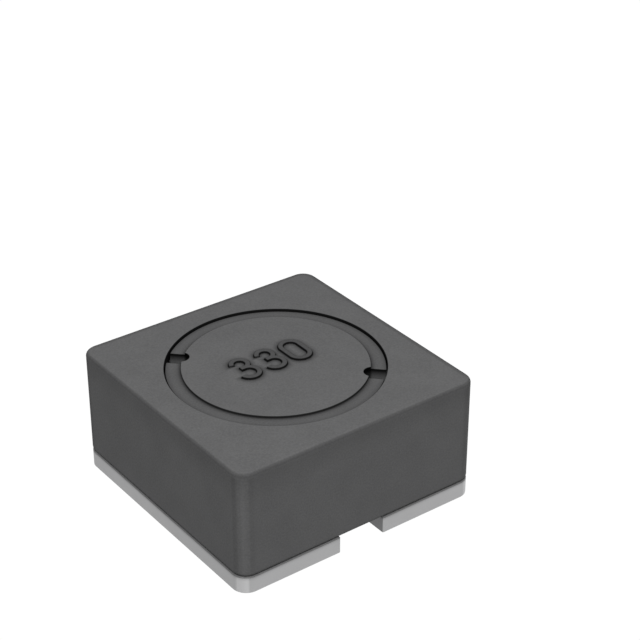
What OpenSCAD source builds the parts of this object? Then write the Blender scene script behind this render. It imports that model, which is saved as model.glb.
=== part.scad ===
// Shielded surface-mount inductor: a drum core with its winding, inside a square shield core,
// on two half-square terminals.
// Origin at the middle of the footprint, on the plane of the solder pads, +Z up. The terminals
// stand at -X and +X, and the wire ends lie on the diagonal through the -X+Y and +X-Y corners.
// Plain raised numbers stand on the drum's top and read along +X.

/* [Body] */
// Width of the square body, along X and Y
body_w = 12.5; // [11.5:0.1:14]
// Height from the solder pads to the top face
body_h = 5.95; // [5.6:0.05:8]
// Radius of the four upright corners
corner_r = 0.7; // [0.4:0.1:1.2]
// Radius along the top and bottom edges of the shield core
edge_r = 0.2; // [0.1:0.05:0.3]
// Diameter of the round bore through the shield core
bore_d = 9.82; // [9.4:0.02:10]

/* [Drum core] */
// Gap between a flange's rim and the bore, on each side
rim_gap = 0.06; // [0.04:0.01:0.12]
// Diameter of the raised middle of each flange
boss_d = 8.34; // [8.2:0.02:8.6]
// Height of the raised middle over its rim
boss_h = 0.11; // [0.08:0.01:0.2]
// Diameter of the post that the wire is wound on
post_d = 5; // [4.6:0.1:5.2]
// Thickness of each flange at its rim
flange_t = 1.2; // [1:0.05:1.3]
// Distance of the drum's lower end above the pads
drum_lift = 0.03; // [0.01:0.01:0.06]

/* [Raised numbers] */
// Height of a number, from foot to head
mark_h = 1.85; // [1.7:0.05:2]
// Width of a number
mark_w = 1.16; // [1.1:0.02:1.2]
// Distance from one number to the next
mark_step = 1.35; // [1.3:0.05:1.5]
// Width of a number's stroke
mark_stroke = 0.26; // [0.2:0.02:0.3]
// Height of the numbers over the drum's top
mark_raise = 0.09; // [0.04:0.01:0.12]
// Distance from the axis to the numbers' feet, towards -Y
mark_foot = 0.5; // [0.3:0.05:0.9]

/* [Notches] */
// Width of the notches in the flanges
notch_w = 0.78; // [0.76:0.01:0.9]
// Distance from the axis to a notch's inner end
notch_reach = 3.88; // [3.8:0.02:4]
// Direction of the diagonal that the notches lie on
notch_angle = 135; // [120:5:150]

/* [Terminals] */
// Thickness of the terminal plates
terminal_t = 0.76; // [0.74:0.02:0.9]
// Gap between the two terminals
terminal_gap = 2.3; // [1.8:0.1:2.8]
// Gap between a lower flange's rim and the cut-outs
cutout_gap = 0.04; // [0.02:0.01:0.08]
// Distance from the axis to the outer end of a terminal's slot
slot_reach = 5.55; // [5.4:0.05:5.8]
// Thickness of the adhesive under the terminals
bond_t = 0.04; // [0.02:0.01:0.06]

/* [Winding] */
// Diameter of the enamelled wire
wire_d = 0.4; // [0.3:0.02:0.5]

/* [Hidden] */
$fn = 96;

// How far a cutter runs past what it cuts
past = 0.5;
// How deep the numbers are rooted in the drum's top
mark_root = 0.3;

shield_z0 = terminal_t + bond_t;
shield_h = body_h - shield_z0;
bore_r = bore_d / 2;

rim_r = bore_r - rim_gap;
boss_r = boss_d / 2;
drum_h = body_h - drum_lift;
post_r = post_d / 2;
// Undersides and tops of the flanges' rims, from the pads up
low_rim_z = drum_lift + boss_h;
low_flange_top = low_rim_z + flange_t;
high_rim_z = body_h - boss_h;
high_flange_foot = high_rim_z - flange_t;

// Middle lines of the numbers' strokes: the oval's round ends, and the two bowls of the three,
// which touch at its waist. The lower bowl is the larger one.
mark_half = mark_stroke / 2;
oval_r = mark_w / 2 - mark_half;
bowls_r = (mark_h - mark_stroke) / 2;
low_bowl_share = 0.54;
low_bowl_r = bowls_r * low_bowl_share;
high_bowl_r = bowls_r - low_bowl_r;
waist_y = mark_half + 2 * low_bowl_r;
waist_l = 0.2;
// Half of the opening on a bowl's left, between its free end and the waist
bowl_opening = 52;

notch_r = notch_w / 2;
cutout_r = rim_r + cutout_gap;

// Each wire end lies in the middle of the terminal's thickness and goes up in the notch, clear of
// the notch's inner end
wire_r = wire_d / 2;
wire_end_clear = 0.2;
riser_x = notch_reach + wire_end_clear + wire_r;
lead_z = terminal_t / 2;
lead_tip_x = slot_reach - notch_r;
solder_inner_x = riser_x - wire_r + notch_r;

// Turns sit a little into each other, so that the wound wire is one solid. The wire starts along
// the lower flange, under the turns. As many turns lie in a layer as fit above it, and as many
// layers as keep clear of the notches' inner ends, in pairs, so that the wire ends below too.
overlap_share = 0.015;
turn_overlap = overlap_share * wire_d;
turn_pitch = wire_d - turn_overlap;
layer_pitch = turn_pitch * sqrt(3) / 2;
winding_clear = 0.02;
first_layer_r = post_r + wire_r + winding_clear;
start_z = low_flange_top + wire_r + winding_clear;
inner_turns = floor((high_flange_foot - wire_r - start_z) / turn_pitch);
layers = 2 * floor((floor((notch_reach - first_layer_r) / layer_pitch) + 1) / 2);
outer_layer_r = first_layer_r + (layers - 1) * layer_pitch;

// Distance from a terminal's edges to its adhesive's: the film comes out to the sides, and stays
// back from the cut-out
film_inset = 0.02;
film_off_cutout = 0.25;
// Adhesive rings round the flanges, set back from the upper rim, the winding and the terminals
bond_below_rim = 0.4;
bond_off_winding = 0.1;
bond_off_terminals = 0.05;
upper_bond_z = high_flange_foot + bond_off_winding;
upper_bond_h = high_rim_z - bond_below_rim - upper_bond_z;
lower_bond_z = shield_z0 + bond_off_terminals;
lower_bond_h = low_flange_top - bond_off_winding - lower_bond_z;

ferrite_grey = [0.30, 0.30, 0.31];
drum_grey = [0.27, 0.27, 0.28];
tin_white = [0.86, 0.86, 0.88];
solder_grey = [0.76, 0.77, 0.80];
enamel_copper = [0.72, 0.36, 0.16];
epoxy_grey = [0.16, 0.16, 0.17];

// Number of turns in a layer: every second layer nests in the grooves of the one under it
function turns_in(layer) = inner_turns - layer % 2;

// Height of a turn's middle, counted from the lowest turn of its layer
function turn_z(layer, turn) = start_z + (1 + turn + (layer % 2) / 2) * turn_pitch;

// Point at a distance from the middle, in a direction
function towards(angle, distance) = distance * [cos(angle), sin(angle)];

// Turns a piece that lies along +X onto the notches' diagonal. The left one is at notch_angle,
// the right one opposite.
module on_diagonal(side) {
    rotate([0, 0, notch_angle + (side == "left" ? 0 : 180)]) children();
}

// Rectangle with rounded corners, centred on the upright axis, from the ground line up
module rounded_profile(width, height, radius) {
    union() {
        translate([-width / 2 + radius, 0]) square([width - 2 * radius, height]);
        translate([-width / 2, radius]) square([width, height - 2 * radius]);
        for (x = [-width / 2 + radius, width / 2 - radius], y = [radius, height - radius])
            translate([x, y]) circle(r = radius);
    }
}

// Square block with rounded upright corners and a round along its top and bottom edges:
// two crossing bars of one profile, and a turned corner piece at each corner
module eased_block(width, height, upright_r, round_r) {
    straight = width - 2 * upright_r;
    union() {
        for (angle = [0, 90])
            rotate([0, 0, angle])
                translate([-straight / 2, 0, 0])
                    rotate([90, 0, 90])
                        linear_extrude(height = straight) rounded_profile(width, height, round_r);
        for (x = [-1, 1], y = [-1, 1])
            translate([x * straight / 2, y * straight / 2, 0])
                rotate_extrude()
                    intersection() {
                        rounded_profile(2 * upright_r, height, round_r);
                        square([upright_r, height]);
                    }
    }
}

// Slot from the axis's side outwards along +X, with a round inner end
module slot(inner_x, outer_x, half_w, height) {
    union() {
        translate([inner_x + half_w, 0, 0]) cylinder(r = half_w, h = height);
        translate([inner_x + half_w, -half_w, 0]) cube([outer_x - inner_x - half_w, 2 * half_w, height]);
    }
}

// Half of the footprint at -X, drawn in by an inset, with a round cut-out and, on a terminal, the
// wire's slot
module half_plate(height, inset, cut_r, with_slot) {
    difference() {
        intersection() {
            linear_extrude(height = height) plate_outline(body_w - 2 * inset, corner_r - inset);
            translate([-body_w, -body_w, -past])
                cube([body_w - terminal_gap / 2 - inset, 2 * body_w, height + 2 * past]);
        }
        translate([0, 0, -past]) cylinder(r = cut_r, h = height + 2 * past);
        if (with_slot)
            rotate([0, 0, notch_angle]) translate([0, 0, -past]) wire_slot(height + 2 * past);
    }
}

// Square with rounded corners
module plate_outline(width, radius) {
    straight = width - 2 * radius;
    union() {
        square([straight, width], center = true);
        square([width, straight], center = true);
        for (x = [-1, 1], y = [-1, 1])
            translate([x * straight / 2, y * straight / 2]) circle(r = radius);
    }
}

// The terminal's radial slot, with a round outer end
module wire_slot(height) {
    union() {
        translate([lead_tip_x, 0, 0]) cylinder(r = notch_r, h = height);
        translate([rim_r - past, -notch_r, 0]) cube([lead_tip_x - rim_r + past, notch_w, height]);
    }
}

// Square ferrite block with the bore that the drum stands in
module shield_core() {
    color(ferrite_grey)
        difference() {
            translate([0, 0, shield_z0]) eased_block(body_w, shield_h, corner_r, edge_r);
            translate([0, 0, shield_z0 - past]) cylinder(r = bore_r, h = shield_h + 2 * past);
        }
}

// Upright outline with round ends, from the ground line up
module tall_oval(end_r, height) {
    union() {
        translate([0, end_r]) circle(r = end_r);
        translate([-end_r, end_r]) square([2 * end_r, height - 2 * end_r]);
        translate([0, height - end_r]) circle(r = end_r);
    }
}

// Round stroke of the number three, open on its left between two directions
module bowl(radius, open_from, open_to) {
    far = 3 * radius;
    difference() {
        circle(r = radius + mark_half);
        circle(r = radius - mark_half);
        polygon([
            [0, 0], towards(open_from, far), towards((open_from + open_to) / 2, far), towards(open_to, far),
        ]);
    }
}

// Outline of the number nought
module nought() {
    difference() {
        tall_oval(oval_r + mark_half, mark_h);
        translate([0, mark_stroke]) tall_oval(oval_r - mark_half, mark_h - 2 * mark_stroke);
    }
}

// Outline of the number three: two bowls and a short bar at the waist
module three() {
    union() {
        translate([0, waist_y - low_bowl_r]) bowl(low_bowl_r, 90, 90 + 2 * bowl_opening);
        translate([0, waist_y + high_bowl_r]) bowl(high_bowl_r, 270 - 2 * bowl_opening, 270);
        translate([-waist_l, waist_y - mark_half]) square([waist_l + mark_half, mark_stroke]);
    }
}

// Plain numbers that stand out of the drum's top
module raised_numbers() {
    translate([0, -mark_foot, body_h - mark_root])
        linear_extrude(height = mark_root + mark_raise) {
            translate([-mark_step, 0]) three();
            three();
            translate([mark_step, 0]) nought();
        }
}

// Post with a flange at each end. Each flange has a raised middle and two notches, and the upper
// one has the numbers.
module drum_core() {
    color(drum_grey)
        difference() {
            union() {
                translate([0, 0, drum_lift]) cylinder(r = boss_r, h = boss_h + flange_t);
                translate([0, 0, low_rim_z]) cylinder(r = rim_r, h = flange_t);
                translate([0, 0, drum_lift]) cylinder(r = post_r, h = drum_h);
                translate([0, 0, high_flange_foot]) cylinder(r = rim_r, h = flange_t);
                translate([0, 0, high_flange_foot]) cylinder(r = boss_r, h = flange_t + boss_h);
                raised_numbers();
            }
            for (side = ["left", "right"])
                on_diagonal(side)
                    translate([0, 0, -past]) slot(notch_reach, body_w / 2, notch_r, body_h + 2 * past);
        }
}

// All turns of the wire, one ring each, from one outline of touching circles
module turns() {
    rotate_extrude()
        for (layer = [0:layers - 1], turn = [0:turns_in(layer) - 1])
            translate([first_layer_r + layer * layer_pitch, turn_z(layer, turn)]) circle(r = wire_r);
}

// A wire's end along +X: level from the winding, down the notch and out along the slot
module wire_end(from_x, from_z) {
    union() {
        translate([from_x, 0, from_z]) level_wire(riser_x - from_x);
        translate([riser_x, 0, from_z]) sphere(r = wire_r);
        translate([riser_x, 0, lead_z]) cylinder(r = wire_r, h = from_z - lead_z);
        translate([riser_x, 0, lead_z]) sphere(r = wire_r);
        translate([riser_x, 0, lead_z]) level_wire(lead_tip_x - riser_x);
    }
}

// Straight wire along +X
module level_wire(length) {
    rotate([0, 90, 0]) cylinder(r = wire_r, h = length);
}

// The left end starts on the post, under all turns. The right one leaves the lowest outer turn.
module placed_wire_end(side) {
    on_diagonal(side)
        if (side == "left") wire_end(first_layer_r, start_z);
        else wire_end(outer_layer_r, turn_z(layers - 1, 0));
}

// Enamelled copper wire: the turns and both ends
module winding() {
    color(enamel_copper)
        union() {
            turns();
            for (side = ["left", "right"]) placed_wire_end(side);
        }
}

// Bright plated plate under one half of the body
module terminal(side) {
    color(tin_white)
        rotate([0, 0, side == "left" ? 0 : 180]) half_plate(terminal_t, 0, cutout_r, true);
}

// Solder that fills the slot and the notch round the wire's end, level with the pad
module solder(side) {
    color(solder_grey)
        difference() {
            on_diagonal(side)
                union() {
                    translate([solder_inner_x, 0, 0]) cylinder(r = notch_r, h = terminal_t);
                    translate([solder_inner_x, -notch_r, 0])
                        cube([lead_tip_x - solder_inner_x, notch_w, terminal_t]);
                    translate([lead_tip_x, 0, 0]) cylinder(r = notch_r, h = terminal_t);
                }
            placed_wire_end(side);
        }
}

// Thin adhesive between a terminal and the shield core's underside
module bond_film(side) {
    color(epoxy_grey)
        rotate([0, 0, side == "left" ? 0 : 180])
            translate([0, 0, terminal_t])
                half_plate(bond_t, film_inset, cutout_r + film_off_cutout, false);
}

// Adhesive in the gap between the flanges and the bore, open at the notches
module drum_bond() {
    color(epoxy_grey)
        difference() {
            union() {
                bond_ring(upper_bond_z, upper_bond_h);
                bond_ring(lower_bond_z, lower_bond_h);
            }
            for (side = ["left", "right"])
                on_diagonal(side)
                    translate([0, 0, -past]) slot(notch_reach, body_w / 2, notch_r, body_h + 2 * past);
        }
}

// One ring of adhesive
module bond_ring(z, height) {
    translate([0, 0, z])
        difference() {
            cylinder(r = bore_r, h = height);
            translate([0, 0, -past]) cylinder(r = rim_r, h = height + 2 * past);
        }
}

shield_core();
drum_core();
winding();
terminal("left");  // terminal_left
terminal("right");  // terminal_right
solder("left");  // solder_left
solder("right");  // solder_right
bond_film("left");  // bond_film_left
bond_film("right");  // bond_film_right
drum_bond();
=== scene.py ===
import math

import bpy
import numpy as np
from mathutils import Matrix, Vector


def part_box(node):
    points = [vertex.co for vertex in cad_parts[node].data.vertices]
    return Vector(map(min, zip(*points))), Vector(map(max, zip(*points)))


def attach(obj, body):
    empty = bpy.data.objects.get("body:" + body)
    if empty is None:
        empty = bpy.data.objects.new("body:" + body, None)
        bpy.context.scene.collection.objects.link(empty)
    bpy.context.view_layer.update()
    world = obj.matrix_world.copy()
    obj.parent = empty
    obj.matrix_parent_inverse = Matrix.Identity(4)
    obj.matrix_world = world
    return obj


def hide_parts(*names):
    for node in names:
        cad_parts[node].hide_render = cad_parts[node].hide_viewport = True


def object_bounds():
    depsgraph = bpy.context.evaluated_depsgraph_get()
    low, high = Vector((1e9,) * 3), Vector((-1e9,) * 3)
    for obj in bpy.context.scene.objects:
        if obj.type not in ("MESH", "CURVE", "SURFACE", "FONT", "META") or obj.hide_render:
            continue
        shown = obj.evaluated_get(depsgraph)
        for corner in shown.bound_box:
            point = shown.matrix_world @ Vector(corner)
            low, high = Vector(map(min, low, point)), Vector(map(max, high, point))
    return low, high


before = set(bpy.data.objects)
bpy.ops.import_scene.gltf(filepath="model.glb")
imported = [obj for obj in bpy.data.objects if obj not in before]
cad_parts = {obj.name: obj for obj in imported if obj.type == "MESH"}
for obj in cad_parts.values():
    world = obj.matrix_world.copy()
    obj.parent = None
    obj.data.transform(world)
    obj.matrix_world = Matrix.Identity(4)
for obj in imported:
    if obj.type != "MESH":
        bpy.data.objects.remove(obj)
cad_low, cad_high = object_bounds()

# All sizes are in metres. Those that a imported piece's box shows are read from it.
MM = 0.001

shield_low, shield_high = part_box("shield_core")
drum_low, drum_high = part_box("drum_core")
plate_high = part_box("terminal_left")[1]
bond_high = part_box("drum_bond")[1]

# Square shield core
BODY_HALF = shield_high.x
SHIELD_FOOT = shield_low.z
SHIELD_TOP = shield_high.z
CORNER_R = 0.7 * MM
EDGE_R = 0.2 * MM
BORE_R = bond_high.x

# Drum core: two flanges on a post, each with a raised middle and two notches
RIM_R = drum_high.x
DRUM_FOOT = drum_low.z
DRUM_TOP = SHIELD_TOP
BOSS_R = 4.17 * MM
BOSS_H = 0.11 * MM
FLANGE_T = 1.2 * MM
POST_R = 2.5 * MM
NOTCH_HALF = 0.39 * MM
NOTCH_REACH = 3.88 * MM
NOTCH_ANGLE = math.radians(135)
EASE = 0.03 * MM
FLAT_R = 3.6 * MM

# Raised numbers on the drum's top
MARK_RAISE = drum_high.z - DRUM_TOP
MARK_H = 1.85 * MM
MARK_W = 1.16 * MM
MARK_STEP = 1.35 * MM
MARK_STROKE = 0.26 * MM
MARK_FOOT = -0.5 * MM
MARK_DRAFT = 0.045 * MM

# Terminal plates
PLATE_T = plate_high.z
GAP_HALF = -plate_high.x
CUTOUT_R = RIM_R + 0.04 * MM
SLOT_REACH = 5.55 * MM

# Wire
WIRE_R = 0.2 * MM
TURN_PITCH = 0.394 * MM
WINDING_CLEAR = 0.02 * MM
LAYER_TURNS = (7, 6, 7, 6)

# Light: the room's, what the table gives back, and the white that the camera sees of both
ROOM_LIGHT = 0.58
TABLE_LIGHT = 0.52
SEEN_WHITE = 1.02

SHADING_ANGLE = math.radians(32)
WELD_CELL = 1e-8
# Each point's tone is painted light and shade, which the finishes multiply into their colour
TONE = "painted_light_tone"


# Surfaces from grids of points

def grid_quads(rows, columns, closed_columns=True, closed_rows=False):
    """Four corners of each cell of a grid of points: a point, its neighbour in the next column, the
    one across and the one in the next row. A closed grid goes on at its start."""
    r, c = np.meshgrid(
        np.arange(rows if closed_rows else rows - 1),
        np.arange(columns if closed_columns else columns - 1),
        indexing="ij",
    )
    r_next, c_next = (r + 1) % rows, (c + 1) % columns
    corners = (r * columns + c, r * columns + c_next, r_next * columns + c_next, r_next * columns + c)
    return np.stack(corners, axis=-1).reshape(-1, 4)


def weld(points, quads):
    """Merges the points that lie in one place. A cell that this closes on one side becomes a
    triangle, and one that it closes on two sides is dropped."""
    keys = np.round(points / WELD_CELL).astype(np.int64)
    _, first, place = np.unique(keys, axis=0, return_index=True, return_inverse=True)
    quads = place.reshape(-1)[quads]
    same = quads == np.roll(quads, -1, axis=1)
    folded = (quads[:, 0] == quads[:, 2]) | (quads[:, 1] == quads[:, 3])
    closed = same.sum(axis=1)
    whole = quads[(closed == 0) & ~folded]
    three = (closed == 1) & ~folded
    triangles = quads[three][~same[three]].reshape(-1, 3)
    return points[first], whole, triangles, place.reshape(-1)


def enclosed_volume(points, faces):
    """Sum over the triangles of a fan of each face of a sixth of the product of their corners."""
    a = points[faces[:, 0]]
    total = 0.0
    for k in range(1, faces.shape[1] - 1):
        b, c = points[faces[:, k]], points[faces[:, k + 1]]
        total += np.einsum("ij,ij->i", a, np.cross(b, c)).sum() / 6
    return total


def new_object(name, data):
    """Object in the scene, of a mesh, a light or a camera."""
    thing = bpy.data.objects.new(name, data)
    bpy.context.scene.collection.objects.link(thing)
    return thing


def make_piece(name, grids, caps=(), tone=None):
    """One closed surface from several grids of points, each an array of rows by columns by three,
    with its flags for closed columns and rows. A cap is a row of a grid that is filled by one face,
    given as the grid's number, the row's and whether the row runs the other way round. The tone, a
    function of place that paints light and shade, is kept with each point for the piece's finish."""
    points, quads, starts = [], [], []
    count = 0
    for array, closed_columns, closed_rows in grids:
        rows, columns = array.shape[:2]
        starts.append((count, columns))
        quads.append(grid_quads(rows, columns, closed_columns, closed_rows) + count)
        points.append(array.reshape(-1, 3))
        count += rows * columns
    points, quads, triangles, place = weld(np.concatenate(points), np.concatenate(quads))
    rings = []
    for grid, row, turned in caps:
        start, columns = starts[grid]
        ring = place[start + (row % grids[grid][0].shape[0]) * columns + np.arange(columns)]
        ring = ring[ring != np.roll(ring, 1)]
        rings.append(ring[::-1] if turned else ring)
    volume = enclosed_volume(points, quads)
    volume += enclosed_volume(points, triangles) if len(triangles) else 0.0
    volume += sum(enclosed_volume(points, ring[None, :]) for ring in rings)
    if volume < 0:
        quads, triangles = quads[:, ::-1], triangles[:, ::-1]
        rings = [ring[::-1] for ring in rings]
    corners = np.concatenate([quads.ravel(), triangles.ravel(), *rings])
    sides = np.concatenate([
        np.full(len(quads), 4), np.full(len(triangles), 3), [len(ring) for ring in rings],
    ]).astype(np.int64)
    mesh = bpy.data.meshes.new(name)
    mesh.vertices.add(len(points))
    mesh.vertices.foreach_set("co", points.astype(np.float32).ravel())
    mesh.loops.add(len(corners))
    mesh.loops.foreach_set("vertex_index", corners.astype(np.int32))
    mesh.polygons.add(len(sides))
    mesh.polygons.foreach_set("loop_start", (np.cumsum(sides) - sides).astype(np.int32))
    mesh.update(calc_edges=True)
    mesh.validate()
    mesh.polygons.foreach_set("use_smooth", np.ones(len(mesh.polygons), bool))
    mesh.set_sharp_from_angle(angle=SHADING_ANGLE)
    if tone is not None:
        layer = mesh.attributes.new(TONE, "FLOAT", "POINT")
        layer.data.foreach_set("value", tone(points).astype(np.float32))
    return new_object(name, mesh)


def at_height(outline, z):
    """A plan outline, an array of points by two, lifted to a height."""
    return np.concatenate([outline, np.broadcast_to(z, (len(outline), 1))], axis=1)


def on_circle(radius, angle, middle=(0, 0)):
    """Points in plan at a radius from a middle, at some directions."""
    return np.stack([middle[0] + radius * np.cos(angle), middle[1] + radius * np.sin(angle)], axis=1)


def unit(vectors):
    """Vectors made one long."""
    return vectors / np.linalg.norm(vectors, axis=1, keepdims=True)


def turned(points, angle):
    """Points in plan or in space, turned round the part's axis by an angle."""
    c, s = math.cos(angle), math.sin(angle)
    spin = np.eye(points.shape[-1])
    spin[:2, :2] = [[c, s], [-s, c]]
    return points @ spin


def quarter_round(steps):
    """Share of the radius by which a rounded edge stands back, and drops, from where it starts on
    one face to where it ends on the other: 1 less the sine and 1 less the cosine of the angle."""
    angle = np.linspace(0, math.pi / 2, steps + 1)
    return list(zip(1 - np.sin(angle), 1 - np.cos(angle)))


def arc_path(arcs, inset=0.0):
    """Closed outline of arcs that straight lines join, moved inwards by an inset. An arc is its
    middle, its radius, its first and last direction and its number of steps. One that runs
    clockwise is a hollow, so its radius grows with the inset."""
    parts = []
    for middle, radius, first, last, steps in arcs:
        angle = np.linspace(first, last, steps + 1)
        r = radius - inset if last > first else radius + inset
        parts.append(on_circle(r, angle, middle))
    return np.concatenate(parts)


def smooth_share(x):
    """Slow start and slow end between 0 and 1: three squares less two cubes."""
    x = np.clip(x, 0, 1)
    return x * x * (3 - 2 * x)


def rise(x, start, width):
    """Smooth rise from 0 at a start to 1 at a width past it."""
    return smooth_share((x - start) / width)


def fall(x, start, width):
    """Smooth fall from 1 at a start to 0 at a width past it."""
    return 1 - rise(x, start, width)


def foot_shade(distance, reach, depth):
    """Painted shade near the foot of a wall: one less the depth at the wall, and back to one at the
    reach, with the square of what is left of the way."""
    return 1 - depth * (1 - np.clip(distance / reach, 0, 1)) ** 2


# Shield core

def corner_place(points, late_x=0.0, late_y=0.0):
    """How far a point has gone round an upright corner of the body: the lesser of its distances
    from the two middle planes, less where the corner's round begins. On the front corner and the
    one behind it, a band that starts later on one of the two sides has that distance made less."""
    on_diagonal = points[:, 0] * points[:, 1] > 0
    late = np.where(on_diagonal[:, None], (late_x, late_y), 0.0)
    return (np.abs(points[:, :2]) - late).min(axis=1) - (BODY_HALF - CORNER_R)


def square_outline(inset, side_steps, corner_steps):
    """Square with rounded corners, anticlockwise from the start of the first corner's arc: the
    corners are quarter circles round fixed middles, and the sides are divided evenly."""
    radius, straight = CORNER_R - inset, BODY_HALF - CORNER_R
    arc = np.linspace(0, math.pi / 2, corner_steps + 1)
    side = np.linspace(straight, -straight, side_steps + 1)[1:-1]
    first = np.concatenate([
        on_circle(radius, arc, (straight, straight)),
        np.stack([side, np.full(len(side), straight + radius)], axis=1),
    ])
    quarter_turns = ((1, 0), (0, 1), (-1, 0), (0, -1))
    return np.concatenate([first @ np.array([[c, s], [-s, c]]) for c, s in quarter_turns])


def outline_inset(points):
    """How far a point lies inside the body's plan outline: the corner's radius, less the distance
    outside the square of the corners' middles, or more the distance inside it."""
    past = np.abs(points[:, :2]) - (BODY_HALF - CORNER_R)
    return CORNER_R - np.hypot(*np.maximum(past, 0).T) - np.minimum(past.max(axis=1), 0)


def shield_tone(points):
    """Painted light and shade on the ferrite: painted shade in the bore, a painted dark line along the
    round of the top edge and painted shade close over the terminals, and on each upright corner a
    painted highlight band with a crest between two painted darker lines. The painted line is wider on
    the top's two far edges, and the corners' painted darker lines are deeper on the left face."""
    bore_shade_tone, edge_shade_depth, second_shade_depth, under_shade_depth, far_shade_depth = 0.09, 0.30, 0.08, 0.14, 0.24
    highlight_gain, highlight_crest_gain, corner_shade_depth, left_corner_shade_depth = 0.03, 0.09, 0.09, 0.15
    x, y = points[:, 0], points[:, 1]
    below, above = SHIELD_TOP - points[:, 2], points[:, 2] - SHIELD_FOOT
    # Painted shade in the bore, and close over the terminals at the foot
    bore = bore_shade_tone + (1 - bore_shade_tone) * rise(np.hypot(x, y), BORE_R, 0.022 * MM)
    foot = foot_shade(above, 0.14 * MM, 0.3)

    # Painted shade lines along the top edge, and below it
    line = edge_shade_depth * rise(below, 0, 0.04 * MM) + second_shade_depth * rise(below, 0.04 * MM, 0.08 * MM)
    line = line * fall(below, 0.12 * MM, 0.08 * MM)
    under = under_shade_depth * rise(below, 0.12 * MM, 0.08 * MM) * fall(below, 0.34 * MM, 0.16 * MM)
    far = far_shade_depth * rise(x + y, 0, 0.5 * MM) * fall(below, 0.03 * MM, 0.03 * MM)
    far = far * fall(outline_inset(points), 0.24 * MM, 0.1 * MM)

    # Painted highlight bands between painted darker lines on the upright corners
    place = corner_place(points, late_y=0.10 * MM)
    dark = rise(place, -0.04 * MM, 0.10 * MM) * fall(place, 0.19 * MM, 0.07 * MM)
    dark = dark * np.where(x < -np.abs(y), left_corner_shade_depth, corner_shade_depth)
    light = highlight_gain * rise(place, 0.21 * MM, 0.09 * MM) + highlight_crest_gain * rise(place, 0.34 * MM, 0.09 * MM)
    corner = 1 + (light - dark) * rise(below, 0.1 * MM, 0.2 * MM)
    return bore * foot * (1 - line - under) * (1 - far) * corner


def make_shield():
    """The block's outline and the bore's circle joined by one closed section: out of the bore over
    the top, round the upper edge, down the side, round the lower edge and back into the bore. Flat
    rings lie close beside the rounds, and one past the painted dark line on the top's far edges."""
    side_steps, corner_steps, round_steps = 80, 16, 10
    by_bore, by_round, past_line = 0.059 * MM, EDGE_R + 0.06 * MM, EDGE_R + 0.16 * MM
    plan = square_outline(0.0, side_steps, corner_steps)
    circle = on_circle(1, np.arctan2(plan[:, 1], plan[:, 0]))

    def outer(inset):
        return square_outline(inset, side_steps, corner_steps)

    def bore(ease):
        return (BORE_R + ease) * circle

    inner, edge = bore(by_bore), outer(by_round)
    rows = []
    for back, drop in quarter_round(4):
        rows.append(at_height(bore(EASE * drop), SHIELD_TOP - EASE * back))
    for share in np.linspace(0, 1, 8)[:-1]:
        rows.append(at_height((1 - share) * inner + share * edge, SHIELD_TOP))
    rows += [at_height(outer(past_line), SHIELD_TOP), at_height(edge, SHIELD_TOP)]
    for back, drop in quarter_round(round_steps):
        rows.append(at_height(outer(EDGE_R * back), SHIELD_TOP - EDGE_R * drop))
    for share in (0.02, 0.25, 0.5, 0.75, 0.98):
        z = SHIELD_TOP - EDGE_R - share * (SHIELD_TOP - SHIELD_FOOT - 2 * EDGE_R)
        rows.append(at_height(outer(0.0), z))
    for back, drop in quarter_round(round_steps):
        rows.append(at_height(outer(EDGE_R * drop), SHIELD_FOOT + EDGE_R * back))
    for share in np.linspace(1, 0, 6)[:-1]:
        rows.append(at_height((1 - share) * inner + share * edge, SHIELD_FOOT))
    for back, drop in quarter_round(4):
        rows.append(at_height(bore(EASE * back), SHIELD_FOOT + EASE * drop))
    for share in (0.02, 0.5, 0.98):
        z = SHIELD_FOOT + EASE + share * (SHIELD_TOP - SHIELD_FOOT - 2 * EASE)
        rows.append(at_height(bore(0.0), z))
    return make_piece("shield_block", [(np.stack(rows), True, True)], tone=shield_tone)


# Drum core

# Steps of a quarter of a flange's outline: round a notch's end, along its wall, and in all. All its
# quarters together have as many as there are cells along the edge of the numbers' patch.
END_STEPS = 14
WALL_STEPS = 14
NUMBER_CELLS = (238, 114)
MARGIN_CELLS = 8
QUARTER_STEPS = sum(NUMBER_CELLS) // 2 + 2 * MARGIN_CELLS
NOTCH_MIDDLE = NOTCH_REACH + NOTCH_HALF


def whole_ring(quarter):
    """A closed outline from the quarter between the notch's middle line and the line across it:
    the quarter, its mirror image across that line, and both again turned by half a turn. The
    whole is turned to the notches' diagonal."""
    mirrored = quarter[-2:0:-1] * (-1, 1)
    half = np.concatenate([quarter, mirrored])
    return turned(np.concatenate([half, [quarter[0] * (-1, 1)], -half[1:]]), NOTCH_ANGLE)


def end_direction(radius, half):
    """Direction, from the middle of a notch's round end, of the point where that end meets a
    circle round the axis."""
    x = (radius**2 - half**2 + NOTCH_MIDDLE**2) / (2 * NOTCH_MIDDLE)
    return math.atan2(math.sqrt(radius**2 - x**2), x - NOTCH_MIDDLE)


def notch_end(half, last):
    """Round end of a notch, from its inmost point to a direction."""
    return on_circle(half, np.linspace(math.pi, last, END_STEPS + 1), (NOTCH_MIDDLE, 0))


def boss_outline(inset=0.0):
    """Quarter of the raised middle's outline: the part of a notch's round end that it reaches, and
    its own arc."""
    radius, half = BOSS_R - inset, NOTCH_HALF + inset
    end = notch_end(half, end_direction(radius, half))
    angle = np.linspace(math.atan2(end[-1, 1], end[-1, 0]), math.pi / 2, QUARTER_STEPS - END_STEPS + 1)
    return np.concatenate([end, on_circle(radius, angle[1:])])


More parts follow.
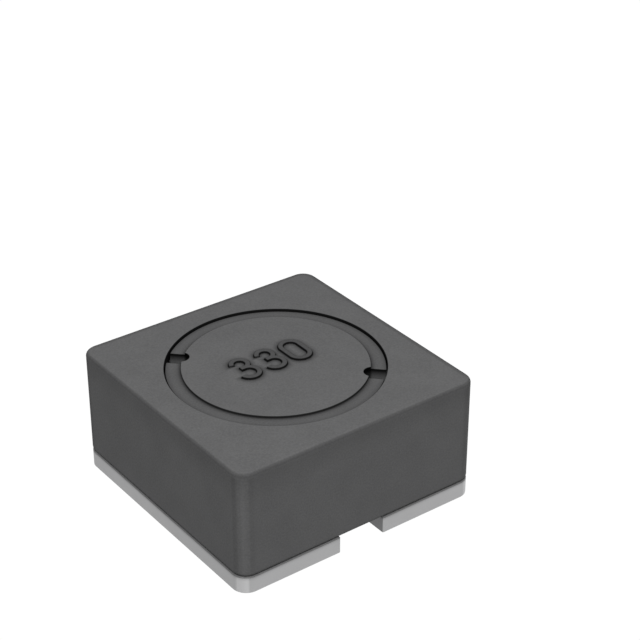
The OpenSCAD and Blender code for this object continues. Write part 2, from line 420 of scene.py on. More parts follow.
def rim_outline(inset=0.0, end_inset=0.0):
    """Quarter of a flange's outline: the notch's round end, its straight wall and the rim's arc.
    The inset grows from that of the end to its full size over the first steps of the wall."""
    split = end_direction(BOSS_R, NOTCH_HALF)
    end = notch_end(NOTCH_HALF + end_inset, split)
    radius, half = RIM_R - inset, NOTCH_HALF + inset
    corner = math.sqrt(radius**2 - half**2)
    curve = NOTCH_HALF * (split - math.pi / 2)
    along = np.linspace(0, curve + corner - NOTCH_MIDDLE, WALL_STEPS + 1)[1:]
    angle = np.maximum(split - along / NOTCH_HALF, math.pi / 2)
    ramp_steps = 4
    ramp = np.clip(np.arange(1, WALL_STEPS + 1) / ramp_steps, 0, 1)
    local = NOTCH_HALF + end_inset + (inset - end_inset) * ramp
    wall = np.stack([
        NOTCH_MIDDLE + local * np.cos(angle) + np.maximum(along - curve, 0), local * np.sin(angle),
    ], axis=1)
    arc_steps = QUARTER_STEPS - END_STEPS - WALL_STEPS
    sweep = np.linspace(math.atan2(half, corner), math.pi / 2, arc_steps + 1)[1:]
    return np.concatenate([end, wall, on_circle(radius, sweep)])


def round_outline(radius):
    """Circle whose points lie at the directions of the raised middle's."""
    return radius * unit(boss_outline())


def bowl_distance(x, y, middle_y, radius, free_end):
    """Distance outside a bowl of the number three: the larger of the distance from its circle, less
    half a stroke, and the distance past the free end's or the waist's cut."""
    y = y - middle_y
    r = np.hypot(x, y)
    across = np.abs(r - radius) - MARK_STROKE / 2
    angle = np.arctan2(y, x)
    past_end = (angle - free_end) if free_end > 0 else (free_end - angle)
    past_waist = np.where(np.sign(y) == -np.sign(free_end), -x, -1.0)
    cut = np.where(past_end > 0, r * np.sin(np.minimum(past_end, math.pi / 2)), past_waist)
    return np.maximum(across, cut)


def three_distance(x, y):
    """Distance outside the number three, whose foot is at the origin: the least of those of its two
    bowls and of the short bar at its waist."""
    half = MARK_STROKE / 2
    both = (MARK_H - MARK_STROKE) / 2
    low_share = 0.54
    low_r = low_share * both
    high_r = both - low_r
    waist = half + 2 * low_r
    open_end = math.radians(166)
    low = bowl_distance(x, y, waist - low_r, low_r, -open_end)
    high = bowl_distance(x, y, waist + high_r, high_r, open_end)
    bar_middle, bar_half = -0.04 * MM, 0.16 * MM
    bar = np.maximum(np.abs(x - bar_middle) - bar_half, np.abs(y - waist) - half)
    return np.minimum(np.minimum(low, high), bar)


def nought_distance(x, y):
    """Distance outside the number nought: that from an upright line with a circle's radius round
    it, less half a stroke."""
    radius = (MARK_W - MARK_STROKE) / 2
    straight = MARK_H / 2 - MARK_STROKE / 2 - radius
    above = np.maximum(np.abs(y - MARK_H / 2) - straight, 0)
    return np.abs(np.hypot(x, above) - radius) - MARK_STROKE / 2


def number_distance(x, y):
    """Distance outside the nearest of the three numbers, and less than nought inside a stroke."""
    y = y - MARK_FOOT
    outside = np.minimum(three_distance(x + MARK_STEP, y), three_distance(x, y))
    return np.minimum(outside, nought_distance(x - MARK_STEP, y))


def with_margin(low, high, cells):
    """Evenly divided stretch with a margin of wider cells on each side."""
    near, far = 0.04 * MM, 0.46 * MM
    inner = np.linspace(low - near, high + near, cells + 1)
    before = np.linspace(low - far, low - near, MARGIN_CELLS + 1)[:-1]
    after = np.linspace(high + near, high + far, MARGIN_CELLS + 1)[1:]
    return np.concatenate([before, inner, after])


def number_patch():
    """Rectangular grid over the numbers. Its height is full inside a stroke and none outside, with
    a smooth slope of the draft's width across the stroke's edge."""
    wide = MARK_STEP + MARK_W / 2
    x, y = np.meshgrid(
        with_margin(-wide, wide, NUMBER_CELLS[0]),
        with_margin(MARK_FOOT, MARK_FOOT + MARK_H, NUMBER_CELLS[1]),
        indexing="xy",
    )
    share = smooth_share(0.5 - number_distance(x, y) / MARK_DRAFT)
    return np.stack([x, y, DRUM_TOP + MARK_RAISE * share], axis=-1)


def patch_edge(patch):
    """The patch's outer points, anticlockwise from the one that lies nearest the notches'
    diagonal."""
    ring = np.concatenate([patch[0, :-1], patch[:-1, -1], patch[-1, :0:-1], patch[:0:-1, 0]])[:, :2]
    direction = np.arctan2(ring[:, 1], ring[:, 0])
    start = np.argmin(np.abs(direction - NOTCH_ANGLE))
    return np.roll(ring, -start, axis=0)


def flange_rows(wall_shares):
    """Outlines of the upper half of the drum, from the flat of the raised middle out over its edge,
    down to the rim, down the notched wall at some shares of its height, in under the flange and
    down the post, each with its height."""
    rim_z = DRUM_TOP - BOSS_H
    foot_z = rim_z - FLANGE_T
    support = EASE + 0.03 * MM
    rows = [(boss_outline(support), DRUM_TOP)]
    rows += [(boss_outline(EASE * back), DRUM_TOP - EASE * drop) for back, drop in quarter_round(3)]
    rows += [(boss_outline(), rim_z + 0.02 * MM), (boss_outline(), rim_z)]
    inner, outer = boss_outline(), rim_outline(support)
    rows += [((1 - share) * inner + share * outer, rim_z) for share in (0.12, 0.28, 0.5, 0.75, 1)]
    rows += [(rim_outline(EASE * back), rim_z - EASE * drop) for back, drop in quarter_round(3)]
    rows += [(rim_outline(), rim_z - share * FLANGE_T) for share in wall_shares]
    rows += [
        (rim_outline(EASE * drop, EASE * drop), foot_z + EASE * back) for back, drop in quarter_round(3)
    ]
    rows += [(rim_outline(support, support), foot_z)]
    fillet = 0.15 * MM
    by_fillet = POST_R + fillet + 0.05 * MM
    rows += [(round_outline(FLAT_R), foot_z), (round_outline(by_fillet), foot_z)]
    rows += [
        (round_outline(POST_R + fillet * back), foot_z - fillet * drop) for back, drop in quarter_round(3)
    ]
    return rows + [(round_outline(POST_R), foot_z - below) for below in (0.6 * MM, 1.2 * MM)]


def drum_tone(points):
    """Painted shade on the sides of the numbers, of the raised middles and of the notches, with a
    painted shade at their feet. The numbers' tops are darker than the flat round them, and the rim
    is painted darker than the flat as shade."""
    x, y, z = points.T
    middle, half = (DRUM_TOP + DRUM_FOOT) / 2, (DRUM_TOP - DRUM_FOOT) / 2
    below = half - np.abs(z - middle)
    from_axis = np.hypot(x, y)

    # Painted shade round the numbers' feet and on their sides, and the darker tone of their tops
    number_tone, number_side_shade = 0.62, 0.03
    outside = number_distance(x, y)
    on_number = number_tone + (number_side_shade - number_tone) * rise(outside, -MARK_DRAFT, 0.03 * MM)
    marks = np.where(outside < 0.02 * MM, on_number, foot_shade(outside, 0.36 * MM, 0.62))
    marks = np.where(z > middle, marks, 1.0)

    # Painted shade on the rim, between the raised middle and the gap, and on its wall. Underneath it lies
    # open.
    upper_tone, lower_tone, upper_wall_depth, lower_wall_depth = 0.83, 0.96, 0.85, 0.72
    upper_rim = upper_tone * foot_shade(from_axis - BOSS_R, 0.28 * MM, 0.80)
    upper_rim = upper_rim * foot_shade(RIM_R - from_axis, 0.22 * MM, 0.36)
    lower_rim = lower_tone * foot_shade(from_axis - BOSS_R, 0.2 * MM, 0.7)
    rim = np.where(z > middle, upper_rim, lower_rim)
    on_wall = rise(below, BOSS_H + 0.004 * MM, 0.02 * MM)
    rim = rim * (1 - np.where(z > middle, upper_wall_depth, lower_wall_depth) * on_wall)

    # Painted shade on the notches' walls, where the distance outside a notch is nought. They are
    # darkest at the top, lighten lower down, and are darker inside the raised middle.
    notch_top_shade, lower_gain, notch_inside_shade = 0.02, 1.12, 0.25
    c, s = math.cos(NOTCH_ANGLE), math.sin(NOTCH_ANGLE)
    along, across = np.abs(x * c + y * s), y * c - x * s
    off_notch = np.hypot(np.maximum(NOTCH_MIDDLE - along, 0), across) - NOTCH_HALF
    in_notch = fall(off_notch, 0, 0.03 * MM) * (along > NOTCH_REACH - 0.05 * MM)
    notch = notch_top_shade + lower_gain * rise(below, 0.14 * MM, 0.46 * MM)
    notch = notch * (notch_inside_shade + (1 - notch_inside_shade) * rise(along, BOSS_R - 0.06 * MM, 0.12 * MM))

    recessed = rise(below, 0.004 * MM, 0.02 * MM)
    tone = marks + (rim - marks) * recessed
    return tone + (notch - tone) * in_notch * np.maximum(recessed, 0.5)


def between_rings(inner, outer, shares):
    """Rings between two closed outlines round the axis. The distance from the axis and the
    direction of each point both go evenly from its place on one to its place on the other, so
    that the rings don't cross."""
    radii = [np.linalg.norm(ring, axis=1) for ring in (inner, outer)]
    turns = [np.unwrap(np.arctan2(ring[:, 1], ring[:, 0])) for ring in (inner, outer)]
    turns[1] += 2 * math.pi * np.round((turns[0] - turns[1]).mean() / (2 * math.pi))
    rings = []
    for share in shares:
        radius = (1 - share) * radii[0] + share * radii[1]
        turn = (1 - share) * turns[0] + share * turns[1]
        rings.append(on_circle(radius, turn))
    return rings


def make_drum():
    """The numbers' patch, rings that lead from its edge straight out to a circle and on to the
    flange's outlines, those outlines, the same ones mirrored for the lower flange, and rings that
    close its underside."""
    patch = number_patch()
    edge = patch_edge(patch)
    round_numbers = 3.2 * MM
    circle = round_numbers * unit(edge)
    upper = [(whole_ring(outline), z) for outline, z in flange_rows((0.04, 0.1, 0.2, 0.34, 0.6, 0.95))]
    lower = [(whole_ring(outline), z) for outline, z in flange_rows((0.06, 0.5, 0.94))]
    flat = whole_ring(round_outline(FLAT_R))
    rows = [at_height((1 - share) * edge + share * circle, DRUM_TOP) for share in (0, 0.5)]
    rows += [at_height(ring, DRUM_TOP) for ring in between_rings(circle, flat, np.linspace(0, 1, 5))]
    rows += [at_height(ring, z) for ring, z in upper]
    rows += [at_height(ring, DRUM_FOOT + DRUM_TOP - z) for ring, z in reversed(lower)]
    for share in (1, 1 / 2, 1 / 6, 0):
        rows.append(at_height(flat * share, DRUM_FOOT))
    grids = [(patch.swapaxes(0, 1), False, False), (np.stack(rows), True, False)]
    return make_piece("drum_with_numbers", grids, tone=drum_tone)


# Terminal plates and solder

def plate_arcs():
    """Outline of the left terminal plate, anticlockwise: round its two outer corners, past the ends
    of the gap, and back along the round cut-out with the wire's slot in it. The corners where the
    cut-out meets the gap and the slot are rounded by arcs that touch both."""
    small = 0.06 * MM
    half, corner = BODY_HALF, CORNER_R
    quarter = math.pi / 2

    # Middle of the arc between the gap's wall and the cut-out, and its direction from the axis
    gap_x = GAP_HALF + small
    gap_y = math.sqrt((CUTOUT_R + small) ** 2 - gap_x**2)
    gap_turn = math.atan2(gap_y, -gap_x)

    # The same for the slot, whose middle line is the diagonal
    lip_y = NOTCH_HALF + small
    lip_x = math.sqrt((CUTOUT_R + small) ** 2 - lip_y**2)
    lip_turn = math.atan2(lip_y, lip_x)

    def on_diagonal(x, y):
        return turned(np.array([x, y]), NOTCH_ANGLE)

    turn = NOTCH_ANGLE
    return [
        ((-gap_x, half - small), small, 0, quarter, 4),
        ((-half + corner, half - corner), corner, quarter, 2 * quarter, 16),
        ((-half + corner, -half + corner), corner, 2 * quarter, 3 * quarter, 16),
        ((-gap_x, -half + small), small, -quarter, 0, 4),
        ((-gap_x, -gap_y), small, 0, math.pi - gap_turn, 4),
        ((0, 0), CUTOUT_R, 2 * math.pi - gap_turn, turn + lip_turn, 120),
        (on_diagonal(lip_x, lip_y), small, turn + lip_turn - math.pi, turn - quarter, 4),
        (on_diagonal(SLOT_REACH - NOTCH_HALF, 0), NOTCH_HALF, turn + quarter, turn - quarter, 20),
        (on_diagonal(lip_x, -lip_y), small, turn + quarter, turn - lip_turn + math.pi, 4),
        ((0, 0), CUTOUT_R, turn - lip_turn, gap_turn, 30),
        ((-gap_x, gap_y), small, gap_turn - math.pi, 0, 4),
    ]


def plate_tone(points):
    """Painted shade under the shield's edge and in the gap, and a painted highlight band on each upright
    corner. The plate's ends are painted a little lighter than its long side, for how the light falls
    on them."""
    corner_highlight_gain, end_gain, side_depth, gap_shade_tone = 0.30, 0.08, 0.04, 0.42
    x, y, z = np.abs(points).T
    shade_under = foot_shade(PLATE_T - z, 0.19 * MM, 0.30)
    # Painted highlight band on the upright corners
    corner = corner_highlight_gain * rise(corner_place(points, late_x=0.10 * MM), 0.18 * MM, 0.06 * MM)
    corner = corner * (z > 0.03 * MM)
    # Painted light on the ends and painted shade on the long side, for how the light falls on each face
    painted_end_light = end_gain * rise(y - x, -0.2 * MM, 0.4 * MM) * (y > BODY_HALF - CORNER_R)
    painted_side_shade = side_depth * rise(x - y, -0.2 * MM, 0.4 * MM) * (x > BODY_HALF - CORNER_R)
    gap = np.where(x < GAP_HALF + 0.01 * MM, gap_shade_tone, 1.0)
    return shade_under * (1 + corner + painted_end_light - painted_side_shade) * gap


def make_plate(name, mirrored):
    """The plate's outline carried up from the pad's face to the face under the shield, drawn in by
    the rounding of the lower edge and closed by a flat face at each end. The right plate is the left
    one after half a turn."""
    ease, support = 0.018 * MM, 0.02 * MM
    arcs = plate_arcs()
    sign = -1 if mirrored else 1
    profile = [(ease + support, 0.0)]
    profile += [(ease * drop, ease * back) for back, drop in reversed(quarter_round(4))]
    profile += [(0.0, 2 * ease)]
    profile += [(0.0, PLATE_T - below * MM) for below in (0.26, 0.22, 0.18, 0.14, 0.1, 0.06, 0.03, 0)]
    rows = np.stack([at_height(sign * arc_path(arcs, inset), z) for inset, z in profile])
    return make_piece(name, [(rows, True, False)], caps=[(0, 0, True), (0, -1, False)], tone=plate_tone)


def make_solder(name, side):
    """Pool with two round ends that fills a terminal's slot. Its outline is drawn in step by step to
    its middle line, and the face by the pads is hollow: it lies deepest at the middle line, and
    rises from the pads towards the drum."""
    half = NOTCH_HALF - 0.005 * MM
    start, crown = 4.08 * MM, 0.06 * MM
    lip, hollow, climb = 0.012 * MM, 0.05 * MM, 0.16 * MM
    inner, outer = start + NOTCH_HALF, SLOT_REACH - NOTCH_HALF
    turn = math.pi / 2
    shares = np.linspace(1, 0, 9)

    def outline(inset):
        arcs = [((outer, 0), half, -turn, turn, 16), ((inner, 0), half, turn, 3 * turn, 16)]
        return arc_path(arcs, inset)

    def below(ring, share):
        slope = np.clip((CUTOUT_R - ring[:, :1]) / (CUTOUT_R - start), 0, 1)
        return lip + hollow * share**2 + climb * slope**2

    rows = []
    for share in shares:
        ring = outline(half * share)
        rows.append(np.concatenate([ring, below(ring, share)], axis=1))
    for z in (0.3 * PLATE_T, 0.7 * PLATE_T, PLATE_T - crown):
        rows.append(at_height(outline(0.0), z))
    for share in shares[::-1][1:]:
        rows.append(at_height(outline(half * share), PLATE_T - crown * (1 - share) ** 2))
    angle = NOTCH_ANGLE + (0 if side == "left" else math.pi)
    return make_piece(name, [(turned(np.stack(rows), angle), True, False)])


# Winding

def bend(start, start_pull, end, end_pull, steps=24):
    """Cubic curve between two points that leaves and arrives along two pulls."""
    t = np.linspace(0, 1, steps + 1)[:, None]
    start, end = np.asarray(start), np.asarray(end)
    second, third = start + np.asarray(start_pull), end - np.asarray(end_pull)
    return (1 - t) ** 3 * start + 3 * (1 - t) ** 2 * t * second + 3 * (1 - t) * t**2 * third + t**3 * end


def wire_path():
    """Middle line of the wire, with the left notch along +X. It comes in through the left slot, up
    the notch and in along the flange, and is wound in level turns. Each turn steps to the next
    one's height over a short stretch, where it also rises over the turns under it. The last turn
    leads out to the other notch, down it and out along the right slot."""
    low_flange_top = DRUM_FOOT + BOSS_H + FLANGE_T
    start_z = low_flange_top + WIRE_R + WINDING_CLEAR
    first_r = POST_R + WIRE_R + WINDING_CLEAR
    layer_pitch = TURN_PITCH * math.sqrt(3) / 2
    notch_clear, over_flange = 0.2 * MM, 0.1 * MM
    riser_x = NOTCH_REACH + notch_clear + WIRE_R
    lead_z = PLATE_T / 2
    tip_x = SLOT_REACH - NOTCH_HALF
    elbow = 0.28 * MM
    pull = 0.55 * elbow

    radii, heights, layer_of = [first_r], [start_z], [0]
    for layer, turns in enumerate(LAYER_TURNS):
        steps = range(turns) if layer % 2 == 0 else range(turns - 1, -1, -1)
        for turn in steps:
            radii.append(first_r + layer * layer_pitch)
            heights.append(start_z + (1 + turn + (layer % 2) / 2) * TURN_PITCH)
            layer_of.append(layer)
    radii, heights, layer_of = np.array(radii), np.array(heights), np.array(layer_of)

    # Turns are counted from where the wire first lies along the post
    first_turn, last_turn, step_share = 0.85, len(radii) - 1 + 0.12, 0.14
    points_a_turn, first_angle = 110, math.radians(22)
    count = np.linspace(first_turn, last_turn, int(points_a_turn * (last_turn - first_turn)))
    turn = np.minimum(count.astype(int), len(radii) - 1)
    after = np.minimum(turn + 1, len(radii) - 1)
    share = smooth_share((count - turn - 1 + step_share) / step_share)
    lift = (2 * WIRE_R - layer_pitch) * layer_of[turn] * np.sin(math.pi * share) ** 2
    radius = radii[turn] + (radii[after] - radii[turn]) * share + lift
    height = heights[turn] + (heights[after] - heights[turn]) * share
    angle = 2 * math.pi * (count - first_turn) + first_angle
    wound = at_height(on_circle(radius, angle), height[:, None])

    # The runs between the winding and the notches, each a curve with a pull at each end
    run, in_pull, out_pull, down_pull = 0.9 * MM, 0.4 * MM, 1.1 * MM, 0.5 * MM
    start_run = wound[0] + np.array([run, -wound[0, 1], 0])
    along = np.array([-math.sin(angle[0]), math.cos(angle[0]), 0])
    lead_in = np.concatenate([
        [(tip_x, 0, lead_z)],
        bend((riser_x + elbow, 0, lead_z), (-pull, 0, 0), (riser_x, 0, lead_z + elbow), (0, 0, pull), 8),
        bend((riser_x, 0, start_z - elbow), (0, 0, pull), (riser_x - elbow, 0, start_z), (-pull, 0, 0), 8),
        bend(start_run, (-in_pull, 0, 0), wound[0], in_pull * along)[:-1],
    ])
    leaving = np.array([-math.sin(angle[-1]), math.cos(angle[-1]), 0])
    down = (-riser_x, 0, low_flange_top + over_flange)
    lead_out = np.concatenate([
        bend(wound[-1], out_pull * leaving, down, (0, 0, -down_pull))[1:],
        bend((-riser_x, 0, lead_z + elbow), (0, 0, -pull), (-riser_x - elbow, 0, lead_z), (-pull, 0, 0), 8),
        [(-tip_x, 0, lead_z)],
    ])
    return turned(np.concatenate([lead_in, wound, lead_out]), NOTCH_ANGLE)


def even_path(path, spacing):
    """The same line with points at even distances along it."""
    length = np.concatenate([[0], np.cumsum(np.linalg.norm(np.diff(path, axis=0), axis=1))])
    along = np.linspace(0, length[-1], int(length[-1] / spacing) + 1)
    return np.stack([np.interp(along, length, path[:, k]) for k in range(3)], axis=1)


def make_wire():
    """Circle carried along the wire's middle line. Its first direction is level and square to the
    line, and where the line stands upright it turns evenly from the one before to the one after.
    The ends are rounded off to a point."""
    sides, spacing, least_level = 12, 0.14 * MM, 0.3
    path = even_path(wire_path(), spacing)
    tangent = unit(np.gradient(path, axis=0))
    level = np.cross(tangent, (0, 0, 1))
    size = np.linalg.norm(level, axis=1)
    known = size > least_level
    place = np.arange(len(path))
    level = np.stack(
        [np.interp(place, place[known], level[known, k] / size[known]) for k in range(3)], axis=1)
    level = unit(level - np.einsum("ij,ij->i", level, tangent)[:, None] * tangent)
    other = np.cross(tangent, level)
    angle = np.linspace(0, 2 * math.pi, sides, endpoint=False)
    ring = level[:, None] * np.cos(angle)[None, :, None] + other[:, None] * np.sin(angle)[None, :, None]
    tube = path[:, None] + WIRE_R * ring

    def closing(end, direction):
        """Rings of a half ball past an end of the tube."""
        up = np.linspace(0, math.pi / 2, 5)[1:, None, None]
        return path[end] + WIRE_R * (np.cos(up) * ring[end] + np.sin(up) * direction * tangent[end])

    rows = np.concatenate([closing(0, -1)[::-1], tube, closing(-1, 1)])
    return make_piece("wound_wire", [(rows, True, False)])


# Shared patterns, each a node group that puts out values only

def add_node(tree, kind, **settings):
    """Node with some settings, each the name of one of its own or of an input."""
    node = tree.nodes.new(kind)
    for key, value in settings.items():
        if hasattr(node, key):
            setattr(node, key, value)
        else:
            node.inputs[key.replace("_", " ")].default_value = value
    return node


def combine(tree, operation, first, second):
    """Result of a Math node. Each of its two inputs is a number or another node's output."""
    node = add_node(tree, "ShaderNodeMath", operation=operation)
    for socket, value in zip(node.inputs, (first, second)):
        if isinstance(value, float):
            socket.default_value = value
        else:
            tree.links.new(value, socket)
    return node.outputs[0]


def new_group(name, inputs, outputs):
    """Empty node group with named sockets, and its input and output nodes. A socket's first value
    shows its kind: one number, a vector of three or a colour of four."""
    kinds = {1: "NodeSocketFloat", 3: "NodeSocketVector", 4: "NodeSocketColor"}
    group = bpy.data.node_groups.new(name, "ShaderNodeTree")
    for in_out, sockets in (("INPUT", inputs), ("OUTPUT", outputs)):
        for label, value in sockets.items():
            socket = group.interface.new_socket(label, in_out=in_out, socket_type=kinds[np.size(value)])
            socket.default_value = value
    return group, group.nodes.new("NodeGroupInput"), group.nodes.new("NodeGroupOutput")


def grain_group():
    """Pressed and fired powder: fine grains, wider clouds and a few small pits. Speckle puts out a
    value round a half for the colour, and Height the grain's height from 0 to 1."""
    group, given, put = new_group(
        "powder_grain",
        {"Vector": (0, 0, 0), "Grain Scale": 12000.0, "Cloud Scale": 700.0, "Speckle Amount": 0.1,
         "Cloud Amount": 0.05, "Pit Amount": 0.3},
        {"Speckle": 0.5, "Height": 0.5},
    )
    pit_spacing = 0.22
    links, source = group.links, given.outputs
    grain = add_node(group, "ShaderNodeTexNoise", Detail=3.0, Roughness=0.6)
    cloud = add_node(group, "ShaderNodeTexNoise", Detail=2.0)
    pits = add_node(group, "ShaderNodeTexVoronoi", feature="F1")
    pit_scale = combine(group, "MULTIPLY", source["Grain Scale"], pit_spacing)
    scales = (source["Grain Scale"], source["Cloud Scale"], pit_scale)
    for node, scale in zip((grain, cloud, pits), scales):
        links.new(source["Vector"], node.inputs["Vector"])
        links.new(scale, node.inputs["Scale"])
    pit = add_node(group, "ShaderNodeMapRange", From_Min=0.05, From_Max=0.22, To_Min=1.0, To_Max=0.0)
    links.new(pits.outputs["Distance"], pit.inputs["Value"])
    pit_depth = combine(group, "MULTIPLY", pit.outputs["Result"], source["Pit Amount"])

    def swing(pattern, amount):
        """A pattern's value less a half, times an amount."""
        centred = combine(group, "SUBTRACT", pattern.outputs["Fac"], 0.5)
        return combine(group, "MULTIPLY", centred, source[amount])

    both = combine(group, "ADD", swing(grain, "Speckle Amount"), swing(cloud, "Cloud Amount"))
    links.new(combine(group, "ADD", both, 0.5), put.inputs["Speckle"])
    links.new(combine(group, "SUBTRACT", grain.outputs["Fac"], pit_depth), put.inputs["Height"])
    return group


def painted_light_group():
    """Painted light and shade in recesses, along edges and on corners: a colour times a tone."""
    grey = (0.5, 0.5, 0.5, 1)
    group, given, put = new_group("painted_light_and_shade", {"Color": grey, "Tone": 1.0}, {"Color": grey})
    shaded = add_node(group, "ShaderNodeVectorMath", operation="SCALE")
    group.links.new(given.outputs["Color"], shaded.inputs[0])
    group.links.new(given.outputs["Tone"], shaded.inputs["Scale"])
    group.links.new(shaded.outputs[0], put.inputs["Color"])
    return group


def plating_group():
    """Plated or solidified metal: soft clouds and long fine rolling marks. Cloud runs from 0 to 1,
    and Height is the cloud plus the marks."""
    group, given, put = new_group(
        "plated_metal",
        {"Vector": (0, 0, 0), "Cloud Scale": 900.0, "Mark Scale": 6000.0, "Mark Amount": 0.5},
        {"Cloud": 0.5, "Height": 0.5},
    )
    links, source = group.links, given.outputs
    cloud = add_node(group, "ShaderNodeTexNoise", Detail=3.0)
    marks = add_node(group, "ShaderNodeTexNoise", Detail=4.0)
    stretch = add_node(group, "ShaderNodeVectorMath", operation="MULTIPLY")
    long_marks = (1.0, 0.06, 1.0)
    stretch.inputs[1].default_value = long_marks
    links.new(source["Vector"], stretch.inputs[0])
    links.new(source["Vector"], cloud.inputs["Vector"])
    links.new(source["Cloud Scale"], cloud.inputs["Scale"])
    links.new(stretch.outputs[0], marks.inputs["Vector"])
    links.new(source["Mark Scale"], marks.inputs["Scale"])
    depth = combine(group, "MULTIPLY", marks.outputs["Fac"], source["Mark Amount"])
    links.new(cloud.outputs["Fac"], put.inputs["Cloud"])
    links.new(combine(group, "ADD", depth, cloud.outputs["Fac"]), put.inputs["Height"])
    return group


def patterned_finish(name, pattern, amounts, colours, roughness, depth, painted_light=None, **settings):
    """Material with one Principled shader on Object coordinates. The pattern's first value leads the
    colour and the roughness from the first to the second of their pairs, and its Height gives a
    bump, whose depth is in metres. Where a painted light group is given, the colour goes through it
    and takes the painted light and shade of each point's tone. The amounts are the pattern's own, and
    the settings are sockets of the shader."""
    material = bpy.data.materials.new(name)
    material.use_nodes = True
    tree = material.node_tree
    links = tree.links
    shader = tree.nodes["Principled BSDF"]
    coordinates = tree.nodes.new("ShaderNodeTexCoord")
    source = add_node(tree, "ShaderNodeGroup", node_tree=pattern, **amounts)
    links.new(coordinates.outputs["Object"], source.inputs["Vector"])

    # A colour Mix node has its factor, its two colours and its result at these places
    factor, first, second, result = 0, 6, 7, 2
    mix = add_node(tree, "ShaderNodeMix", data_type="RGBA")
    mix.inputs[first].default_value = (*colours[0], 1)
    mix.inputs[second].default_value = (*colours[1], 1)
    links.new(source.outputs[0], mix.inputs[factor])
    colour = mix.outputs[result]
    # The tone paints light and shade into the colour: painted shade in recesses and along edges, and
    # painted highlights on corners
    if painted_light is not None:
        tone = add_node(tree, "ShaderNodeAttribute", attribute_name=TONE)
        shaded = add_node(tree, "ShaderNodeGroup", node_tree=painted_light)
        links.new(colour, shaded.inputs["Color"])
        links.new(tone.outputs["Fac"], shaded.inputs["Tone"])
        colour = shaded.outputs["Color"]
    links.new(colour, shader.inputs["Base Color"])

    spread = add_node(tree, "ShaderNodeMapRange", To_Min=roughness[0], To_Max=roughness[1])
    links.new(source.outputs[0], spread.inputs["Value"])
    links.new(spread.outputs["Result"], shader.inputs["Roughness"])
    bump = add_node(tree, "ShaderNodeBump", Strength=1.0, Distance=depth)
    links.new(source.outputs["Height"], bump.inputs["Height"])
    links.new(bump.outputs["Normal"], shader.inputs["Normal"])
    for key, value in settings.items():
        shader.inputs[key.replace("_", " ")].default_value = value
    return material


def ferrite_finish(name, grain, painted_light, dark, light):
    """Matt fired ferrite: dark neutral grey with a fine speckle."""
    amounts = {"Speckle Amount": 1.3, "Cloud Amount": 0.45, "Pit Amount": 0.5}
    return patterned_finish(
        name, grain, amounts, (dark, light), (0.66, 0.56), 0.004 * MM, painted_light, Specular_IOR_Level=0.05)


def tin_finish(plating, painted_light):
    """Satin white tin plate with faint clouds and rolling marks."""
    colours = (0.68, 0.68, 0.685), (0.58, 0.58, 0.585)
    amounts = {"Mark Amount": 0.6}
    return patterned_finish(
        "satin_tin", plating, amounts, colours, (0.34, 0.46), 0.002 * MM, painted_light, Metallic=1.0)


def solder_finish(plating):
    """Smooth satin solder, a little brighter in its clouds."""
    colours = (0.60, 0.60, 0.605), (0.69, 0.69, 0.695)
    amounts = {"Cloud Scale": 2600.0, "Mark Amount": 0.1}
    return patterned_finish(
        "satin_solder", plating, amounts, colours, (0.28, 0.42), 0.004 * MM, Metallic=1.0)


def copper_finish(plating):
    """Copper wire under clear reddish enamel, which is the coat."""
    colours = (0.42, 0.12, 0.035), (0.60, 0.22, 0.08)
    amounts = {"Cloud Scale": 1500.0, "Mark Amount": 0.2}
    return patterned_finish(
        "enamelled_copper_wire", plating, amounts, colours, (0.28, 0.42), 0.002 * MM,
        Metallic=0.85, Coat_Weight=0.8, Coat_Roughness=0.12)


def epoxy_finish(name, grain, dark, light):
    """Cured dark epoxy, smooth with a faint mottle."""
    amounts = {"Grain Scale": 5000.0, "Speckle Amount": 0.8, "Cloud Amount": 0.6}
    return patterned_finish(name, grain, amounts, (dark, light), (0.30, 0.45), 0.003 * MM)


# Floor, light and camera

def mix_shaders(tree, *sources):
    """Mix of two shaders, led by the first of the three outputs given."""
    mix = tree.nodes.new("ShaderNodeMixShader")
    for source, socket in zip(sources, mix.inputs):
        tree.links.new(source, socket)
    return mix.outputs[0]


def white_light(tree, kind, given):
    """White to the camera, and a softer white of the given strength to the part."""
    path = tree.nodes.new("ShaderNodeLightPath")
    soft = add_node(tree, kind, Color=(1, 1, 1, 1), Strength=given)
    seen = add_node(tree, kind, Color=(1, 1, 1, 1), Strength=SEEN_WHITE)
    return mix_shaders(tree, path.outputs["Is Camera Ray"], soft.outputs[0], seen.outputs[0])


def floor_finish():
    """Pale light table. It shines white to the camera and softer to the part. From below it lets the
    camera through."""
    material = bpy.data.materials.new("pale_light_table")
    material.cycles.emission_sampling = "NONE"
    material.use_nodes = True
    tree = material.node_tree
    tree.nodes.clear()
    clear = tree.nodes.new("ShaderNodeBsdfTransparent")
    face = tree.nodes.new("ShaderNodeNewGeometry")
    white = white_light(tree, "ShaderNodeEmission", TABLE_LIGHT)
    seen = mix_shaders(tree, face.outputs["Backfacing"], white, clear.outputs[0])
    output = tree.nodes.new("ShaderNodeOutputMaterial")
    tree.links.new(seen, output.inputs["Surface"])
    return material


def make_floor():
    """Level top of a light table, just under the pads."""
    reach = 1.5
    clear = 0.002 * MM
    mesh = bpy.data.meshes.new("light_table")
    z = cad_low.z - clear
    mesh.from_pydata([(-reach, -reach, z), (reach, -reach, z), (reach, reach, z), (-reach, reach, z)],
                     [], [(0, 1, 2, 3)])
    mesh.materials.append(floor_finish())
    new_object("light_table", mesh)


def make_softbox(name, place, size, power):
    """Square area light at a place, turned to the part's middle."""
    aim = (0, 0, 3 * MM)
    light = bpy.data.lights.new(name, "AREA")
    light.shape = "SQUARE"
    light.size = size
    light.energy = power
    lamp = new_object(name, light)
    lamp.location = place
    lamp.rotation_euler = (Vector(aim) - Vector(place)).to_track_quat("-Z", "Y").to_euler()


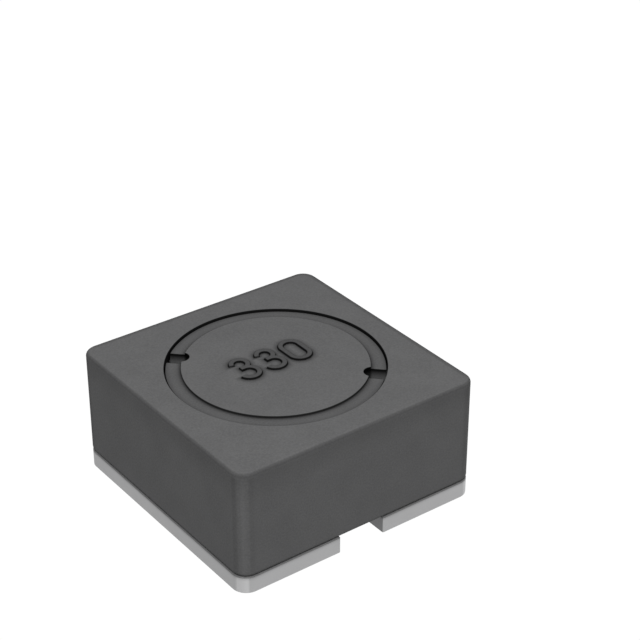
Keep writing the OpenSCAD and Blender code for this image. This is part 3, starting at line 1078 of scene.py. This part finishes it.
def make_surroundings():
    """Even pale room light, and plain white behind the part for the camera."""
    world = bpy.data.worlds.new("pale_room")
    bpy.context.scene.world = world
    world.use_nodes = True
    tree = world.node_tree
    tree.nodes.clear()
    output = tree.nodes.new("ShaderNodeOutputWorld")
    tree.links.new(white_light(tree, "ShaderNodeBackground", ROOM_LIGHT), output.inputs["Surface"])


def make_camera():
    """The photograph's view: it looks down on the part's front corner and keeps the part at the
    lower left of the frame."""
    azimuth, elevation = math.radians(-36.76), math.radians(29.99)
    level = math.cos(elevation)
    back = Vector((math.sin(azimuth) * level, -math.cos(azimuth) * level, math.sin(elevation)))
    data = bpy.data.cameras.new("camera")
    data.lens = 99.93
    data.sensor_width = 36.0
    data.clip_start = 0.005
    data.clip_end = 10.0
    camera = new_object("camera", data)
    camera.location = (-38.2628 * MM, -54.4555 * MM, 46.572 * MM)
    camera.rotation_mode = "QUATERNION"
    camera.rotation_quaternion = (-back).to_track_quat("-Z", "Y")
    bpy.context.scene.camera = camera


def dress(piece, material, node):
    """Gives a new piece its finish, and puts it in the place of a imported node."""
    piece.data.materials.append(material)
    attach(piece, "root")
    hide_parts(node)


# The scene, and each piece in its finish

make_camera()
make_floor()
make_surroundings()
make_softbox("key_light", place=(-0.0455, -0.0567, 0.1343), size=0.08, power=0.225)
make_softbox("side_light", place=(0.16, -0.25, 0.035), size=0.10, power=0.088)

grain, plating, painted_light = grain_group(), plating_group(), painted_light_group()
shield_finish = ferrite_finish(
    "shield_ferrite_grey", grain, painted_light, (0.070, 0.070, 0.071), (0.106, 0.106, 0.107))
drum_finish = ferrite_finish(
    "drum_ferrite_grey", grain, painted_light, (0.069, 0.069, 0.070), (0.105, 0.105, 0.106))
tin = tin_finish(plating, painted_light)
solder = solder_finish(plating)
film_epoxy = epoxy_finish("cured_film_epoxy", grain, (0.115, 0.115, 0.116), (0.165, 0.165, 0.167))
# The gap's epoxy is near black: the adhesive's own dark colour and a painted shade deep in the narrow gap
# between drum and shield
gap_epoxy_and_shade = epoxy_finish("cured_gap_epoxy_and_shade", grain, (0.025, 0.025, 0.026), (0.040, 0.040, 0.041))

dress(make_shield(), shield_finish, "shield_core")
dress(make_drum(), drum_finish, "drum_core")
dress(make_wire(), copper_finish(plating), "winding")
for side in ("left", "right"):
    dress(make_plate(f"terminal_plate_{side}", side == "right"), tin, f"terminal_{side}")
    dress(make_solder(f"solder_pool_{side}", side), solder, f"solder_{side}")
bonds = {"bond_film_left": film_epoxy, "bond_film_right": film_epoxy, "drum_bond": gap_epoxy_and_shade}
for name, epoxy in bonds.items():
    for material_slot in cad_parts[name].material_slots:
        material_slot.link = "OBJECT"
        material_slot.material = epoxy

bpy.context.scene.view_settings.view_transform = "Standard"
